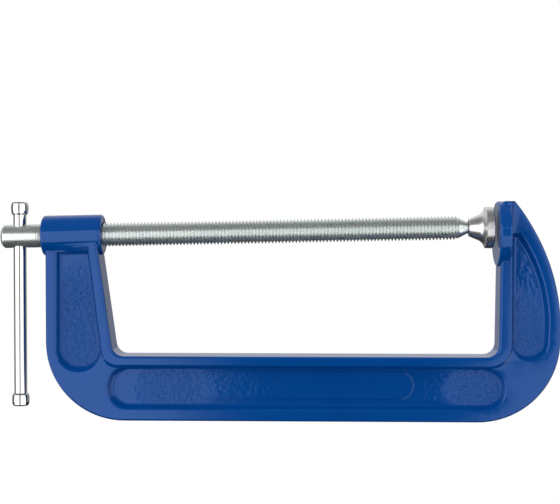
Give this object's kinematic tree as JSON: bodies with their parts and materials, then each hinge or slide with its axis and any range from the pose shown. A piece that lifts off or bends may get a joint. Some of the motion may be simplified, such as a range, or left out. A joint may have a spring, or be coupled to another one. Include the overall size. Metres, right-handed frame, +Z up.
{
  "type": "c clamp",
  "caption": "Deep C clamp with a ribbed cast frame, a threaded screw with a sliding T-bar handle, and a swivel pad that closes on a round anvil.",
  "frame": {"origin": "centre of the anvil's clamping face", "axes": "+X square to the anvil's face, from the handle to the anvil, +Z up from the frame's spine to the screw, +Y from the pictured side to the far side"},
  "size_m": [0.3772, 0.044, 0.1482],
  "materials": {
    "painted_casting": "gloss",
    "zinc_plated_steel": "satin",
    "bright_steel": "gloss",
    "satin_steel": "satin",
    "spring_steel": "satin"
  },
  "bodies": {
    "frame": {"frame": "painted_casting"},
    "screw_carrier": {"pad_retaining_ring": "spring_steel"},
    "screw": {"spindle": "zinc_plated_steel"},
    "handle": {"handle_bar": "bright_steel", "handle_cap_upper": "bright_steel", "handle_cap_lower": "bright_steel"},
    "pad": {"swivel_pad": "satin_steel"}
  },
  "joints": [
    {"name": "screw_feed", "type": "slide", "parent": "frame", "child": "screw_carrier", "axis": [0.9998, 0, 0.0192], "range_m": [-0.2479, 0.0006]},
    {"name": "screw_turn", "type": "hinge", "parent": "screw_carrier", "child": "screw", "pos_m": [-0.15002, 0, 0.00161], "axis": [0.9998, 0, 0.0192], "range_deg": [-38650, 93.6]},
    {"name": "bar_slide", "type": "slide", "parent": "screw", "child": "handle", "axis": [0, 0, 1], "range_m": [-0.0065, 0.099]},
    {"name": "pad_tilt", "type": "hinge", "parent": "screw_carrier", "child": "pad", "pos_m": [-0.01329, 0, 0.00423], "axis": [0, 1, 0], "range_deg": [-6, 6]}
  ],
  "couplings": [
    {"joint": "screw_turn", "follows": "screw_feed", "rad_per_m": 2721.1}
  ]
}
